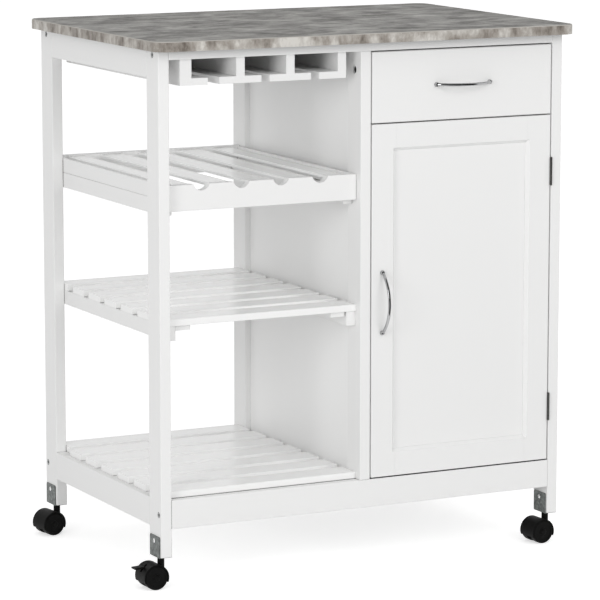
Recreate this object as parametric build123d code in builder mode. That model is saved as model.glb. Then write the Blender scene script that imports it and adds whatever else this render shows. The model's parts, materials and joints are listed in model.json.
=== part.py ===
from build123d import *
import math
import os

# Kitchen cart on four twin-wheel casters.
# Left bay: stemware hangers, wine rack tray, two slatted shelves.
# Right bay: cabinet with a drawer above a framed door.
# Units are millimetres. X runs to the right, Y to the back, Z up.
# The origin is on the floor, below the middle of the worktop.

os.makedirs("parts", exist_ok=True)

# Overall frame
overall_height = 850.0
frame_width = 710.0
frame_depth = 458.0
open_bay_width = 328.0
caster_height = 51.0

# Worktop
top_thickness = 15.5
top_overhang_side = 13.0
top_overhang_front = 26.0
top_corner_radius = 24.0
top_edge_bevel = 1.2

# Posts, rails and panels
post_width = 18.0
post_depth = 44.0
wood_edge_radius = 1.5
board_edge_radius = 1.0
top_rail_thickness = 14.5
bottom_rail_height = 45.0
bottom_rail_thickness = 18.0
bottom_rail_level = 95.0
apron_height = 43.5
apron_thickness = 18.0
panel_thickness = 8.0
back_panel_inset = 10.0
floor_thickness = 9.0

# Frame bolts and their barrel nuts
bolt_radius = 3.0
bolt_head_radius = 4.8
bolt_head_height = 4.0
bolt_head_recess = 0.4
bolt_socket_radius = 2.9
bolt_socket_depth = 2.5
bolt_shank_length = 52.0
bolt_clearance = 0.2
bolt_tip_clearance = 1.0
nut_radius = 6.0
nut_length = 12.0
nut_inset = 30.0
nut_thread_clearance = 0.05

# Stemware hangers
hanger_foot_thickness = 11.0
hanger_drop = 41.0
hanger_setback = 10.0
hanger_start = 22.5
hanger_outer_foot = 47.0
hanger_inner_foot = 71.5
hanger_outer_web = 19.5
hanger_web = 14.5
first_stem_slot = 19.5
stem_slot = 14.0

# Wine rack tray
rack_board_thickness = 14.0
rack_board_height = 40.5
rack_board_drop = 248.0
rack_setback = 13.8
rack_rear_setback = 12.0
rack_rear_rise = 1.5
rack_support_lip = 7.8
rack_support_height = 24.8
rack_support_setback = 28.0
rack_side_thickness = 4.0
rack_side_gap = 12.5
lane_count = 4
lane_pitch = 68.0
lane_width = 27.0
lane_depth = 10.0
lane_shift = -2.0
rack_slat_thickness = 4.0
rack_slat_drop = 0.5

# Slatted shelves
slat_count = 7
slat_width = 46.0
slat_thickness = 11.0
slat_edge_radius = 1.2
shelf_setback = 14.0
middle_shelf_level = 409.3
support_thickness = 16.0
support_height = 22.8
support_setback = 17.0
batten_width = 25.0
batten_thickness = 8.0
batten_setback = 20.0
batten_inset = 30.0
bottom_slat_inset = 10.0

# Drawer
front_gap = 2.0
front_thickness = 16.0
drawer_front_height = 111.5
drawer_box_height = 80.0
drawer_back_clearance = 44.0
drawer_box_lift = 15.5
drawer_board_thickness = 12.0
drawer_bottom_thickness = 3.0
drawer_bottom_level = 8.0
groove_depth = 5.0
groove_clearance = 0.2
front_edge_radius = 1.5

# Drawer runners, one steel channel inside another
runner_width = 12.5
runner_gauge = 1.2
runner_height = 35.0
runner_end_clearance = 26.0
runner_lift = 13.0
runner_clearance = 0.3
runner_setback = 4.0

# Door
door_frame_width = 38.0
door_bevel = 5.0
door_panel_recess = 7.0
door_panel_thickness = 5.0
door_panel_tongue = 6.0

# Bow handles
handle_screw_spacing = 96.0
handle_projection = 28.0
handle_bar_radius = 2.4
handle_foot_radius = 3.7
handle_foot_length = 5.0
handle_screw_radius = 2.0
handle_screw_head_radius = 3.8
handle_screw_head_height = 2.4
handle_screw_engagement = 3.5
screw_clearance = 0.1
drawer_handle_rise = 56.3
door_handle_drop = 1.25
door_handle_inset = 18.5

# Door hinges
hinge_height = 44.5
lower_hinge_rise = 86.9
upper_hinge_drop = 90.9
hinge_leaf_gauge = 0.8
hinge_leaf_depth = 14.0
hinge_knuckle_radius = 1.8
hinge_pin_radius = 0.9
hinge_pin_clearance = 0.1
hinge_axis_stand_off = 1.9
hinge_knuckle_gap = 0.3
hinge_leaf_relief = 0.2

# Magnetic catch
catch_width = 12.0
catch_height = 15.0
catch_length = 36.0
catch_drop = 64.5
catch_gap = 0.4
strike_gauge = 1.0

# Caster brackets and screws
bracket_width = 36.0
bracket_gauge = 1.5
bracket_leg_height = 32.0
bracket_corner_radius = 3.0
bracket_screw_drop = 8.0
bracket_screw_radius = 1.75
bracket_screw_length = 7.0
bracket_screw_head_radius = 3.6
bracket_screw_head_height = 1.8
stem_radius = 3.0
stem_length = 16.0
collar_radius = 5.6
collar_height = 1.9

# Casters
wheel_radius = 19.0
wheel_thickness = 14.0
wheel_edge_radius = 2.5
wheel_dish_depth = 1.0
wheel_dish_inner = 6.0
wheel_dish_outer = 14.5
hub_cover = 1.5
axle_radius = 2.5
axle_fit = 0.05
axle_play = 0.1
caster_trail = 15.0
hood_clearance = 0.5
hood_wall = 1.5
hood_edge_radius = 0.6
hood_skirt_level = 11.5
web_thickness = 8.0
web_clearance = 0.6
neck_radius = 5.5
neck_gap = 0.3
stem_clearance = 0.2
caster_headings = {
    "front_left": 0.0,
    "front_right": 4.0,
    "rear_left": 9.0,
    "rear_right": 4.0,
}

# Brake levers, on the casters that lock
braked_casters = ["front_left", "rear_right"]
lever_blade_thickness = 4.8
lever_slot_clearance = 0.4
lever_slot_depth = 3.0
lever_pivot_reach = 10.5
lever_pivot_rise = 12.5
lever_pivot_radius = 1.0
lever_boss_radius = 2.0
lever_tab_width = 14.0
lever_tab_gauge = 2.4
lever_blade_foot = 4.8
lever_tab_start = 15.5
lever_tab_end = 32.0
lever_tab_rise = 17.6
lever_tab_tip_rise = 16.8
lever_slot_low_angle = 22.0
lever_slot_high_angle = 66.0

# Levels and edges that follow from the sizes above
left = -frame_width / 2
right = frame_width / 2
front = -frame_depth / 2
rear = frame_depth / 2
top_underside = overall_height - top_thickness
top_rail_underside = top_underside - top_rail_thickness
bottom_rail_top = bottom_rail_level + bottom_rail_height
bay_left = left + post_width
bay_right = bay_left + open_bay_width
bay_middle = (bay_left + bay_right) / 2
cabinet_left = bay_right + post_width
cabinet_right = right - post_width
cabinet_width = cabinet_right - cabinet_left
cabinet_middle = (cabinet_left + cabinet_right) / 2
side_board_length = frame_depth - 2 * post_depth
top_rail_middle = top_rail_underside + top_rail_thickness / 2
bottom_rail_middle = bottom_rail_level + bottom_rail_height / 2
front_post_middle = front + post_depth / 2
rear_post_middle = rear - post_depth / 2
middle_post_x = bay_right + post_width / 2
bolt_reach = bolt_head_recess + bolt_head_height + bolt_shank_length + bolt_tip_clearance
head_pocket = bolt_head_recess + bolt_head_height


# Where the bolts go. Each plane lies on the face that the bolt enters and points inwards.
post_rows = {
    "front": (front_post_middle, front + bottom_rail_thickness / 2),
    "rear": (rear_post_middle, rear - bottom_rail_thickness / 2),
}
bolt_planes = []
for post_y, rail_y in post_rows.values():
    for face_x, inwards in ((left, 1), (right, -1)):
        bolt_planes.append(Plane(origin=(face_x, post_y, top_rail_middle), z_dir=(inwards, 0, 0)))
        bolt_planes.append(Plane(origin=(face_x, rail_y, bottom_rail_middle), z_dir=(inwards, 0, 0)))
    bolt_planes.append(Plane(origin=(middle_post_x, post_y, top_underside), z_dir=(0, 0, -1)))

# Where the barrel nuts go: under the top rails, in the bottom rails' inner faces
# and in the middle posts' left faces, each centred on its bolt.
nut_planes = []
for row_name, (post_y, rail_y) in post_rows.items():
    inner_face_y = front + bottom_rail_thickness if row_name == "front" else rear - bottom_rail_thickness
    outwards = -1 if row_name == "front" else 1
    for nut_x in (bay_left + nut_inset, cabinet_right - nut_inset):
        nut_planes.append(
            Plane(origin=(nut_x, post_y, top_rail_underside), z_dir=(0, 0, 1)).offset(
                (top_rail_thickness - nut_length) / 2
            )
        )
        nut_planes.append(
            Plane(origin=(nut_x, inner_face_y, bottom_rail_middle), z_dir=(0, outwards, 0)).offset(
                (bottom_rail_thickness - nut_length) / 2
            )
        )
    nut_planes.append(
        Plane(origin=(bay_right, post_y, top_rail_underside - nut_inset), z_dir=(1, 0, 0)).offset(
            (post_width - nut_length) / 2
        )
    )


def drill(plane, radius, reach):
    """Cut a round hole into the piece being made, from the plane along its normal."""
    with BuildSketch(plane) as mouth:
        Circle(radius)
    extrude(mouth.sketch, amount=reach, mode=Mode.SUBTRACT)


def drill_for_bolts():
    """Cut the bolts' clearance holes, head pockets and nut holes where they cross the piece."""
    for plane in bolt_planes:
        drill(plane, bolt_head_radius + bolt_clearance, head_pocket)
        drill(plane, bolt_radius + bolt_clearance, bolt_reach)
    for plane in nut_planes:
        drill(plane.offset(-nut_length), nut_radius + bolt_clearance, 2 * nut_length)


# Worktop: one board with rounded corners and a thin bevel round its upper edge.
with BuildPart() as worktop:
    with BuildSketch(Plane.XY.offset(top_underside)):
        RectangleRounded(
            frame_width + 2 * top_overhang_side,
            frame_depth + 2 * top_overhang_front,
            top_corner_radius,
        )
    extrude(amount=top_thickness)
    chamfer(worktop.edges().group_by(Axis.Z)[-1], top_edge_bevel)
worktop.part.label = "worktop"
export_step(worktop.part, "parts/worktop.step")

# Posts: the corner posts reach the worktop, the middle ones stand between the rails.
post_columns = {
    "left": (left, caster_height, top_underside),
    "middle": (bay_right, bottom_rail_top, top_rail_underside),
    "right": (cabinet_right, caster_height, top_underside),
}
bracket_screw_level = caster_height + bracket_leg_height - bracket_screw_drop
for row_name, (post_y, rail_y) in post_rows.items():
    for column_name, (post_x, post_foot, post_head) in post_columns.items():
        name = f"post_{row_name}_{column_name}"
        with BuildPart() as post:
            with BuildSketch(Plane((post_x + post_width / 2, post_y, post_foot))):
                Rectangle(post_width, post_depth)
            extrude(amount=post_head - post_foot)
            fillet(post.edges().filter_by(Axis.Z), wood_edge_radius)
            drill_for_bolts()
            if column_name != "middle":
                drill(
                    Plane(origin=(post_x, post_y, bracket_screw_level), z_dir=(1, 0, 0)),
                    bracket_screw_radius + screw_clearance,
                    post_width,
                )
        post.part.label = name
        export_step(post.part, f"parts/{name}.step")

# Top rails: flat boards between the corner posts, over the middle posts.
for row_name, (post_y, rail_y) in post_rows.items():
    name = f"top_rail_{row_name}"
    with BuildPart() as top_rail:
        with BuildSketch(Plane(((bay_left + cabinet_right) / 2, post_y, top_rail_underside))):
            Rectangle(cabinet_right - bay_left, post_depth)
        extrude(amount=top_rail_thickness)
        fillet(top_rail.edges().filter_by(Axis.X).group_by(Axis.Z)[0], wood_edge_radius)
        fillet(top_rail.edges().filter_by(Axis.Z), board_edge_radius)
        drill_for_bolts()
    top_rail.part.label = name
    export_step(top_rail.part, f"parts/{name}.step")

# Bottom rails: boards on edge between the corner posts, under the middle posts.
for row_name, (post_y, rail_y) in post_rows.items():
    name = f"bottom_rail_{row_name}"
    with BuildPart() as bottom_rail:
        with BuildSketch(Plane(((bay_left + cabinet_right) / 2, rail_y, bottom_rail_level))):
            Rectangle(cabinet_right - bay_left, bottom_rail_thickness)
        extrude(amount=bottom_rail_height)
        fillet(bottom_rail.edges(), board_edge_radius)
        drill_for_bolts()
    bottom_rail.part.label = name
    export_step(bottom_rail.part, f"parts/{name}.step")

# Left bottom rail: closes the open side between the two left posts.
with BuildPart() as bottom_rail_left:
    with BuildSketch(Plane((left + bottom_rail_thickness / 2, 0, bottom_rail_level))):
        Rectangle(bottom_rail_thickness, side_board_length)
    extrude(amount=bottom_rail_height)
    fillet(bottom_rail_left.edges(), board_edge_radius)
bottom_rail_left.part.label = "bottom_rail_left"
export_step(bottom_rail_left.part, "parts/bottom_rail_left.step")

# Left top apron: a board on edge under the worktop, flush with the left posts.
with BuildPart() as top_apron_left:
    with BuildSketch(Plane((left + apron_thickness / 2, 0, top_underside - apron_height))):
        Rectangle(apron_thickness, side_board_length)
    extrude(amount=apron_height)
    fillet(top_apron_left.edges().filter_by(Axis.Y).group_by(Axis.Z)[0], wood_edge_radius)
    fillet(top_apron_left.edges().filter_by(Axis.Z), board_edge_radius)
top_apron_left.part.label = "top_apron_left"
export_step(top_apron_left.part, "parts/top_apron_left.step")

# Divider and right side: the same thin panel, flush with the posts' cabinet faces.
side_panels = {
    "divider_panel": cabinet_left - panel_thickness / 2,
    "right_side_panel": cabinet_right + panel_thickness / 2,
}
for name, panel_x in side_panels.items():
    with BuildPart() as side_panel:
        with BuildSketch(Plane((panel_x, 0, bottom_rail_level))):
            Rectangle(panel_thickness, side_board_length)
        extrude(amount=top_underside - bottom_rail_level)
    side_panel.part.label = name
    export_step(side_panel.part, f"parts/{name}.step")

# Back panel: closes the cabinet between the rear rails and the rear posts.
back_panel_y = rear - back_panel_inset - panel_thickness / 2
with BuildPart() as back_panel:
    with BuildSketch(Plane((cabinet_middle, back_panel_y, bottom_rail_top))):
        Rectangle(cabinet_width, panel_thickness)
    extrude(amount=top_rail_underside - bottom_rail_top)
back_panel.part.label = "back_panel"
export_step(back_panel.part, "parts/back_panel.step")

# Cabinet floor: level with the top of the bottom rails, between them.
with BuildPart() as cabinet_floor:
    with BuildSketch(Plane((cabinet_middle, 0, bottom_rail_top - floor_thickness))):
        Rectangle(cabinet_width, frame_depth - 2 * bottom_rail_thickness)
    extrude(amount=floor_thickness)
cabinet_floor.part.label = "cabinet_floor"
export_step(cabinet_floor.part, "parts/cabinet_floor.step")

# Frame bolts: socket heads sunk just below the face they enter.
with BuildPart() as frame_bolts:
    for plane in bolt_planes:
        with BuildSketch(plane.offset(bolt_head_recess)):
            Circle(bolt_head_radius)
        extrude(amount=bolt_head_height)
        with BuildSketch(plane.offset(head_pocket)):
            Circle(bolt_radius)
        extrude(amount=bolt_shank_length)
        with BuildSketch(plane.offset(bolt_head_recess)):
            RegularPolygon(bolt_socket_radius, 6)
        extrude(amount=bolt_socket_depth, mode=Mode.SUBTRACT)
frame_bolts.part.label = "frame_bolts"
export_step(frame_bolts.part, "parts/frame_bolts.step")

# Barrel nuts: steel rods across the bolts' ends, each with a threaded hole.
with BuildPart() as barrel_nuts:
    for plane in nut_planes:
        with BuildSketch(plane):
            Circle(nut_radius)
        extrude(amount=nut_length)
    for plane in bolt_planes:
        drill(plane, bolt_radius + nut_thread_clearance, bolt_reach)
barrel_nuts.part.label = "barrel_nuts"
export_step(barrel_nuts.part, "parts/barrel_nuts.step")

# Stemware hangers: webs under the top rails with feet that carry the glasses' bases.
hanger_level = top_rail_underside - hanger_drop
hanger_length = frame_depth - 2 * hanger_setback
hanger_profile_plane = Plane(
    origin=(bay_left + hanger_start, front + hanger_setback, hanger_level),
    x_dir=(1, 0, 0),
    z_dir=(0, 1, 0),
)
inner_left_start = hanger_outer_foot + first_stem_slot
inner_right_start = inner_left_start + hanger_inner_foot + stem_slot
right_start = inner_right_start + hanger_inner_foot + stem_slot
hanger_end = right_start + hanger_outer_foot


def hanger_profile(foot_start, foot_width, web_start, web_width):
    """Foot with a web standing on it, drawn on the front ends' plane, whose Y points down."""
    with Locations((foot_start + foot_width / 2, -hanger_foot_thickness / 2)):
        Rectangle(foot_width, hanger_foot_thickness)
    with Locations((web_start + web_width / 2, -hanger_drop / 2)):
        Rectangle(web_width, hanger_drop)


with BuildPart() as glass_hanger_left:
    with BuildSketch(hanger_profile_plane):
        hanger_profile(0, hanger_outer_foot, 0, hanger_outer_web)
    extrude(amount=hanger_length)
glass_hanger_left.part.label = "glass_hanger_left"
export_step(glass_hanger_left.part, "parts/glass_hanger_left.step")

with BuildPart() as glass_hangers_inner:
    for start in (inner_left_start, inner_right_start):
        web_start = start + (hanger_inner_foot - hanger_web) / 2
        with BuildSketch(hanger_profile_plane):
            hanger_profile(start, hanger_inner_foot, web_start, hanger_web)
        extrude(amount=hanger_length)
glass_hangers_inner.part.label = "glass_hangers_inner"
export_step(glass_hangers_inner.part, "parts/glass_hangers_inner.step")

with BuildPart() as glass_hanger_right:
    with BuildSketch(hanger_profile_plane):
        hanger_profile(right_start, hanger_outer_foot, hanger_end - hanger_web, hanger_web)
    extrude(amount=hanger_length)
glass_hanger_right.part.label = "glass_hanger_right"
export_step(glass_hanger_right.part, "parts/glass_hanger_right.step")

# Wine rack end boards: the front one has a row of round notches in its top edge.
rack_board_level = top_underside - rack_board_drop
rack_top = rack_board_level + rack_board_height
rack_front_y = front + rack_setback + rack_board_thickness / 2
rack_rear_y = rear - rack_rear_setback - rack_board_thickness / 2
first_lane_x = bay_middle + lane_shift - lane_pitch * (lane_count - 1) / 2
lane_centres = [first_lane_x + lane_pitch * lane for lane in range(lane_count)]
notch_radius = ((lane_width / 2) ** 2 + lane_depth**2) / (2 * lane_depth)
notch_centre_level = rack_top - lane_depth + notch_radius
with BuildPart() as wine_rack_front_board:
    with BuildSketch(Plane((bay_middle, rack_front_y, rack_board_level))):
        Rectangle(open_bay_width, rack_board_thickness)
    extrude(amount=rack_board_height)
    fillet(wine_rack_front_board.edges(), board_edge_radius)
    for lane_x in lane_centres:
        notch_centre = (lane_x, rack_front_y - rack_board_thickness / 2, notch_centre_level)
        drill(Plane(origin=notch_centre, z_dir=(0, 1, 0)), notch_radius, rack_board_thickness)
wine_rack_front_board.part.label = "wine_rack_front_board"
export_step(wine_rack_front_board.part, "parts/wine_rack_front_board.step")

with BuildPart() as wine_rack_rear_board:
    with BuildSketch(Plane((bay_middle, rack_rear_y, rack_board_level))):
        Rectangle(open_bay_width, rack_board_thickness)
    extrude(amount=rack_board_height + rack_rear_rise)
    fillet(wine_rack_rear_board.edges(), board_edge_radius)
wine_rack_rear_board.part.label = "wine_rack_rear_board"
export_step(wine_rack_rear_board.part, "parts/wine_rack_rear_board.step")

# Wine rack side boards and the supports that they stand on.
rack_inner_front = rack_front_y + rack_board_thickness / 2
rack_inner_rear = rack_rear_y - rack_board_thickness / 2
rack_inner_middle = (rack_inner_front + rack_inner_rear) / 2
rack_support_level = rack_board_level - rack_support_lip
rack_support_top = rack_support_level + rack_support_height
with BuildPart() as wine_rack_side_boards:
    for side_x in (bay_left + rack_side_thickness / 2, bay_right - rack_side_thickness / 2):
        with BuildSketch(Plane((side_x, rack_inner_middle, rack_support_top))):
            Rectangle(rack_side_thickness, rack_inner_rear - rack_inner_front)
        extrude(amount=rack_top - rack_support_top)
    fillet(wine_rack_side_boards.edges(), board_edge_radius)
wine_rack_side_boards.part.label = "wine_rack_side_boards"
export_step(wine_rack_side_boards.part, "parts/wine_rack_side_boards.step")

rack_support_length = frame_depth - 2 * rack_support_setback
with BuildPart() as wine_rack_supports:
    for support_x in (bay_left + support_thickness / 2, bay_right - support_thickness / 2):
        with BuildSketch(Plane((support_x, 0, rack_support_level))):
            Rectangle(support_thickness, rack_support_length)
        extrude(amount=rack_support_height)
    fillet(wine_rack_supports.edges(), board_edge_radius)
wine_rack_supports.part.label = "wine_rack_supports"
export_step(wine_rack_supports.part, "parts/wine_rack_supports.step")

# Wine rack slats: thin boards from front to back, with a bottle lane between each two.
slat_edges = [bay_left + rack_side_thickness + rack_side_gap]
for lane_x in lane_centres:
    slat_edges.append(lane_x - lane_width / 2)
    slat_edges.append(lane_x + lane_width / 2)
slat_edges.append(bay_right - rack_side_thickness - rack_side_gap)
rack_slat_level = rack_top - rack_slat_drop - rack_slat_thickness
with BuildPart() as wine_rack_slats:
    for low_x, high_x in zip(slat_edges[0::2], slat_edges[1::2]):
        with BuildSketch(Plane(((low_x + high_x) / 2, rack_inner_middle, rack_slat_level))):
            Rectangle(high_x - low_x, rack_inner_rear - rack_inner_front)
        extrude(amount=rack_slat_thickness)
    fillet(wine_rack_slats.edges().filter_by(Axis.Y).group_by(Axis.Z)[-1], slat_edge_radius)
wine_rack_slats.part.label = "wine_rack_slats"
export_step(wine_rack_slats.part, "parts/wine_rack_slats.step")

# Slatted shelves: seven slats across the open bay.
slat_pitch = (frame_depth - 2 * shelf_setback - slat_width) / (slat_count - 1)
first_slat_y = front + shelf_setback + slat_width / 2
slat_rows = [first_slat_y + slat_pitch * row for row in range(slat_count)]
with BuildPart() as middle_shelf_slats:
    for slat_y in slat_rows:
        with BuildSketch(Plane((bay_middle, slat_y, middle_shelf_level))):
            Rectangle(open_bay_width, slat_width)
        extrude(amount=slat_thickness)
    fillet(middle_shelf_slats.edges().filter_by(Axis.X), slat_edge_radius)
middle_shelf_slats.part.label = "middle_shelf_slats"
export_step(middle_shelf_slats.part, "parts/middle_shelf_slats.step")

# The lower shelf's inner slats reach out over the left rail, the end ones clear the posts.
with BuildPart() as bottom_shelf_slats:
    for slat_y in slat_rows:
        clears_posts = abs(slat_y) + slat_width / 2 < side_board_length / 2
        slat_left = left + bottom_slat_inset if clears_posts else bay_left
        with BuildSketch(Plane(((slat_left + bay_right) / 2, slat_y, bottom_rail_top))):
            Rectangle(bay_right - slat_left, slat_width)
        extrude(amount=slat_thickness)
    fillet(bottom_shelf_slats.edges().filter_by(Axis.X), slat_edge_radius)
bottom_shelf_slats.part.label = "bottom_shelf_slats"
export_step(bottom_shelf_slats.part, "parts/bottom_shelf_slats.step")

# Battens: thin strips screwed under each shelf's slats.
batten_length = frame_depth - 2 * batten_setback
with BuildPart() as shelf_battens:
    for shelf_level in (middle_shelf_level, bottom_rail_top):
        for batten_x in (bay_left + batten_inset, bay_right - batten_inset):
            with BuildSketch(Plane((batten_x, 0, shelf_level - batten_thickness))):
                Rectangle(batten_width, batten_length)
            extrude(amount=batten_thickness)
shelf_battens.part.label = "shelf_battens"
export_step(shelf_battens.part, "parts/shelf_battens.step")

# Middle shelf supports: screwed to the posts' inner faces.
support_length = frame_depth - 2 * support_setback
with BuildPart() as middle_shelf_supports:
    for support_x in (bay_left + support_thickness / 2, bay_right - support_thickness / 2):
        with BuildSketch(Plane((support_x, 0, middle_shelf_level - support_height))):
            Rectangle(support_thickness, support_length)
        extrude(amount=support_height)
middle_shelf_supports.part.label = "middle_shelf_supports"
export_step(middle_shelf_supports.part, "parts/middle_shelf_supports.step")

# Inset fronts: both stand flush with the posts' front faces.
front_width = cabinet_width - 2 * front_gap
drawer_front_top = top_rail_underside - front_gap
drawer_front_level = drawer_front_top - drawer_front_height
door_top = drawer_front_level - front_gap
door_level = bottom_rail_top + front_gap
door_middle_z = (door_top + door_level) / 2
fronts_back = front + front_thickness
drawer_box_level = drawer_front_level + drawer_box_lift
drawer_box_width = cabinet_width - 2 * runner_width
drawer_box_left = cabinet_left + runner_width
drawer_box_right = cabinet_right - runner_width
drawer_box_back = rear - back_panel_inset - panel_thickness - drawer_back_clearance
drawer_box_length = drawer_box_back - fronts_back
drawer_box_middle = (drawer_box_back + fronts_back) / 2
drawer_bottom_z = drawer_box_level + drawer_bottom_level
drawer_inner_width = drawer_box_width - 2 * drawer_board_thickness
handle_reach = handle_screw_engagement + front_thickness
door_handle_x = cabinet_left + front_gap + door_handle_inset
drawer_handle_seat = (cabinet_middle, front, drawer_front_level + drawer_handle_rise)
door_handle_seat = (door_handle_x, front, door_middle_z - door_handle_drop)
handle_seats = {
    "drawer_handle": Plane(origin=drawer_handle_seat, x_dir=(1, 0, 0), z_dir=(0, -1, 0)),
    "door_handle": Plane(origin=door_handle_seat, x_dir=(0, 0, 1), z_dir=(0, -1, 0)),
}


def drill_for_handle(seat):
    """Cut the two screw holes of a handle through the front it is fixed to."""
    for offset in (-handle_screw_spacing / 2, handle_screw_spacing / 2):
        hole_plane = Plane(origin=seat.from_local_coords((offset, 0, 0)), z_dir=-seat.z_dir)
        drill(hole_plane, handle_screw_radius + screw_clearance, front_thickness)


def groove_cut(low_x, high_x, low_y, high_y):
    """Cut the slot that the drawer's bottom sits in."""
    slot_middle = ((low_x + high_x) / 2, (low_y + high_y) / 2, drawer_bottom_z - groove_clearance)
    with BuildSketch(Plane(slot_middle)) as slot:
        Rectangle(high_x - low_x, high_y - low_y)
    extrude(slot.sketch, amount=drawer_bottom_thickness + 2 * groove_clearance, mode=Mode.SUBTRACT)


# Drawer front: one board, with eased edges and two screw holes for its handle.
groove_left = drawer_box_left + drawer_board_thickness - groove_depth
groove_right = drawer_box_right - drawer_board_thickness + groove_depth
groove_front = fronts_back - groove_depth
groove_back = drawer_box_back - drawer_board_thickness + groove_depth
with BuildPart() as drawer_front:
    with BuildSketch(Plane((cabinet_middle, front + front_thickness / 2, drawer_front_level))):
        Rectangle(front_width, front_thickness)
    extrude(amount=drawer_front_height)
    fillet(drawer_front.faces().sort_by(Axis.Y)[0].edges(), front_edge_radius)
    drill_for_handle(handle_seats["drawer_handle"])
    groove_cut(groove_left, groove_right, groove_front, fronts_back)
drawer_front.part.label = "drawer_front"
export_step(drawer_front.part, "parts/drawer_front.step")

# Drawer sides: grooved along the inside for the bottom.
left_side_x = drawer_box_left + drawer_board_thickness / 2
right_side_x = drawer_box_right - drawer_board_thickness / 2
with BuildPart() as drawer_sides:
    for side_x in (left_side_x, right_side_x):
        with BuildSketch(Plane((side_x, drawer_box_middle, drawer_box_level))):
            Rectangle(drawer_board_thickness, drawer_box_length)
        extrude(amount=drawer_box_height)
    groove_cut(groove_left, groove_right, fronts_back, groove_back)
drawer_sides.part.label = "drawer_sides"
export_step(drawer_sides.part, "parts/drawer_sides.step")

# Drawer back: between the sides.
drawer_back_y = drawer_box_back - drawer_board_thickness / 2
with BuildPart() as drawer_back:
    with BuildSketch(Plane((cabinet_middle, drawer_back_y, drawer_box_level))):
        Rectangle(drawer_inner_width, drawer_board_thickness)
    extrude(amount=drawer_box_height)
    groove_cut(groove_left, groove_right, fronts_back, groove_back)
drawer_back.part.label = "drawer_back"
export_step(drawer_back.part, "parts/drawer_back.step")

# Drawer bottom: a thin sheet whose edges sit in the grooves.
sheet_left = groove_left + groove_clearance
sheet_right = groove_right - groove_clearance
sheet_front = groove_front + groove_clearance
sheet_back = groove_back - groove_clearance
with BuildPart() as drawer_bottom:
    with BuildSketch(Plane((cabinet_middle, (sheet_front + sheet_back) / 2, drawer_bottom_z))):
        Rectangle(sheet_right - sheet_left, sheet_back - sheet_front)
    extrude(amount=drawer_bottom_thickness)
drawer_bottom.part.label = "drawer_bottom"
export_step(drawer_bottom.part, "parts/drawer_bottom.step")

# Runners: the fixed channels open towards the drawer, the moving ones towards the cabinet.
runner_front = fronts_back + runner_setback
runner_length = drawer_box_back - runner_end_clearance - runner_front
runner_middle = drawer_box_level + runner_lift + runner_height / 2
inner_height = runner_height - 2 * (runner_gauge + runner_clearance)
flange_reach = runner_width - 2 * runner_gauge - runner_clearance


def channel(back_x, opens, height):
    """Sketch a channel: a web at back_x with two flanges towards the way it opens."""
    web_plane = Plane(origin=(back_x, runner_front, runner_middle), x_dir=(1, 0, 0), z_dir=(0, 1, 0))
    with BuildSketch(web_plane) as section:
        with Locations((opens * runner_gauge / 2, 0)):
            Rectangle(runner_gauge, height)
        flange_width = flange_reach + runner_gauge
        for side in (-1, 1):
            with Locations((opens * flange_width / 2, side * (height - runner_gauge) / 2)):
                Rectangle(flange_width, runner_gauge)
    extrude(section.sketch, amount=runner_length)


with BuildPart() as drawer_runners_fixed:
    channel(cabinet_left, 1, runner_height)
    channel(cabinet_right, -1, runner_height)
drawer_runners_fixed.part.label = "drawer_runners_fixed"
export_step(drawer_runners_fixed.part, "parts/drawer_runners_fixed.step")

with BuildPart() as drawer_runners_moving:
    channel(drawer_box_left, -1, inner_height)
    channel(drawer_box_right, 1, inner_height)
drawer_runners_moving.part.label = "drawer_runners_moving"
export_step(drawer_runners_moving.part, "parts/drawer_runners_moving.step")

# Door: two full-height stiles, two rails between them and a sunk flat panel.
door_left = cabinet_left + front_gap
door_right = cabinet_right - front_gap
door_height = door_top - door_level
door_board = door_frame_width + door_bevel
opening_width = front_width - 2 * door_frame_width
opening_height = door_height - 2 * door_frame_width
door_face_plane = Plane(origin=(cabinet_middle, front, door_middle_z), x_dir=(1, 0, 0), z_dir=(0, -1, 0))
panel_back = door_panel_recess + door_panel_thickness
throat_width = opening_width - 2 * door_bevel
throat_height = opening_height - 2 * door_bevel
seat_margin = door_panel_tongue + groove_clearance


def cut_door_opening():
    """Cut the bevel that runs round the sunk panel, mitred at its corners, and the panel's groove."""
    with BuildSketch(door_face_plane) as mouth:
        Rectangle(opening_width, opening_height)
    with BuildSketch(door_face_plane.offset(-door_panel_recess)) as throat:
        Rectangle(throat_width, throat_height)
    loft(Sketch() + [mouth.sketch, throat.sketch], mode=Mode.SUBTRACT)
    with BuildSketch(door_face_plane.offset(-door_panel_recess)) as seat:
        Rectangle(throat_width + 2 * seat_margin, throat_height + 2 * seat_margin)
    extrude(seat.sketch, amount=-door_panel_thickness, mode=Mode.SUBTRACT)


stile_middles = {
    "door_stile_handle_side": door_left + door_board / 2,
    "door_stile_hinge_side": door_right - door_board / 2,
}
for name, stile_x in stile_middles.items():
    with BuildPart() as stile:
        with BuildSketch(Plane((stile_x, front + front_thickness / 2, door_level))):
            Rectangle(door_board, front_thickness)
        extrude(amount=door_height)
        fillet(
            stile.faces().sort_by(Axis.Y)[0].edges().filter_by(Axis.Z).sort_by(
                lambda edge: abs(edge.center().X - cabinet_middle)
            )[-1],
            front_edge_radius,
        )
        cut_door_opening()
        if name == "door_stile_handle_side":
            drill_for_handle(handle_seats["door_handle"])
    stile.part.label = name
    export_step(stile.part, f"parts/{name}.step")

rail_levels = {"door_rail_bottom": door_level, "door_rail_top": door_top - door_board}
for name, rail_z in rail_levels.items():
    with BuildPart() as door_rail:
        with BuildSketch(Plane((cabinet_middle, front + front_thickness / 2, rail_z))):
            Rectangle(front_width - 2 * door_board, front_thickness)
        extrude(amount=door_board)
        cut_door_opening()
    door_rail.part.label = name
    export_step(door_rail.part, f"parts/{name}.step")

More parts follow.
